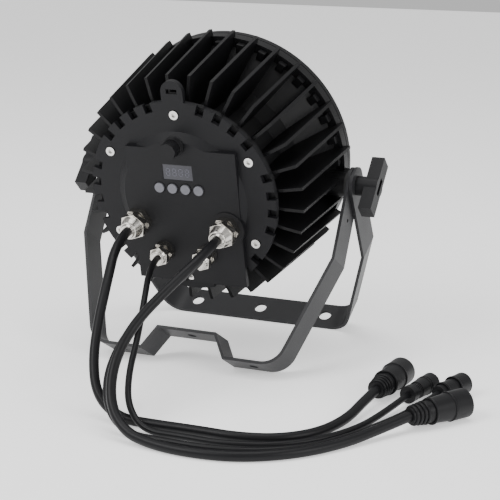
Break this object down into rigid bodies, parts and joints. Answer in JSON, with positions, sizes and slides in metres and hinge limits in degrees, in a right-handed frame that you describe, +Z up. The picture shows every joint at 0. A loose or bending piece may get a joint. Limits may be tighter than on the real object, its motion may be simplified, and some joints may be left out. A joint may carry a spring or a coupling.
{
  "type": "par can light",
  "caption": "Round finned stage light on a splayed double bracket, with rear control panel, cable glands and lead-out connector cables.",
  "frame": {"origin": "on the floor under the middle of the standing light, cords left out", "axes": "+Z up, -Y the way the beam points (tilted up), +Y the rear cover and cords, X along the bracket pivots"},
  "size_m": [0.4545, 0.4178, 0.317],
  "materials": {
    "cable_jacket": "satin",
    "pin_metal": "polished",
    "plug_plastic": "moulded",
    "housing_paint": "fine texture powder coat",
    "cover_paint": "fine texture powder coat",
    "bezel_paint": "fine texture powder coat",
    "seal_rubber": "matt",
    "screw_steel": "bright",
    "nickel": "nickel plate",
    "window_plastic": "gloss",
    "button_plastic": "satin",
    "glass": "clear",
    "lens_plastic": "clear",
    "board_green": "solder mask",
    "supply_case": "folded sheet",
    "bracket_paint": "smooth powder coat",
    "washer_nylon": "nylon",
    "knob_plastic": "moulded"
  },
  "bodies": {
    "lamp": {"housing": "housing_paint", "rear_cover": "cover_paint", "cover_gasket": "seal_rubber", "cover_screws": "screw_steel", "display_window": "window_plastic", "control_board": "board_green", "vent_plug": "knob_plastic", "gland_power_in": "nickel", "gland_power_out": "nickel", "gland_data_in": "nickel", "gland_data_out": "nickel", "locknut_power_in": "nickel", "locknut_power_out": "nickel", "locknut_data_in": "nickel", "locknut_data_out": "nickel", "front_bezel": "bezel_paint", "glass_gasket": "seal_rubber", "front_glass": "glass", "bezel_screws": "screw_steel", "lens_plate": "lens_plastic", "led_board": "board_green", "power_supply": "supply_case", "pivot_washer_left": "washer_nylon", "pivot_washer_right": "washer_nylon", "pivot_stud_left": "screw_steel", "pivot_stud_right": "screw_steel", "power_in_cable": "cable_jacket", "power_out_cable": "cable_jacket", "data_in_cable": "cable_jacket", "data_out_cable": "cable_jacket", "power_in_plug": "plug_plastic", "power_out_plug": "plug_plastic", "data_in_plug": "plug_plastic", "data_out_plug": "plug_plastic", "power_in_plug_pins": "pin_metal", "power_out_plug_pins": "pin_metal", "data_in_plug_pins": "pin_metal", "data_out_plug_pins": "pin_metal"},
    "button_1": {"menu_button_1": "button_plastic"},
    "button_2": {"menu_button_2": "button_plastic"},
    "button_3": {"menu_button_3": "button_plastic"},
    "button_4": {"menu_button_4": "button_plastic"},
    "front_bracket_body": {"front_bracket": "bracket_paint"},
    "rear_bracket_body": {"rear_bracket": "bracket_paint"},
    "knob_left_body": {"knob_left": "knob_plastic"},
    "knob_right_body": {"knob_right": "knob_plastic"}
  },
  "joints": [
    {"name": "front_bracket_tilt", "type": "hinge", "parent": "lamp", "child": "front_bracket_body", "pos_m": [0, -0.01615, 0.17194], "axis": [1, 0, 0], "range_deg": [-100, 25]},
    {"name": "rear_bracket_tilt", "type": "hinge", "parent": "lamp", "child": "rear_bracket_body", "pos_m": [0, -0.01615, 0.17194], "axis": [1, 0, 0], "range_deg": [-15, 0]},
    {"name": "knob_left_turn", "type": "hinge", "parent": "lamp", "child": "knob_left_body", "pos_m": [0, -0.01615, 0.17194], "axis": [1, 0, 0], "continuous": true},
    {"name": "knob_right_turn", "type": "hinge", "parent": "lamp", "child": "knob_right_body", "pos_m": [0, -0.01615, 0.17194], "axis": [-1, 0, 0], "continuous": true},
    {"name": "button_1_press", "type": "slide", "parent": "lamp", "child": "button_1", "axis": [0, -0.976, 0.218], "range_m": [0, 0.0015], "stiffness_N_per_m": 600, "springref_m": -0.001},
    {"name": "button_2_press", "type": "slide", "parent": "lamp", "child": "button_2", "axis": [0, -0.976, 0.218], "range_m": [0, 0.0015], "stiffness_N_per_m": 600, "springref_m": -0.001},
    {"name": "button_3_press", "type": "slide", "parent": "lamp", "child": "button_3", "axis": [0, -0.976, 0.218], "range_m": [0, 0.0015], "stiffness_N_per_m": 600, "springref_m": -0.001},
    {"name": "button_4_press", "type": "slide", "parent": "lamp", "child": "button_4", "axis": [0, -0.976, 0.218], "range_m": [0, 0.0015], "stiffness_N_per_m": 600, "springref_m": -0.001}
  ]
}
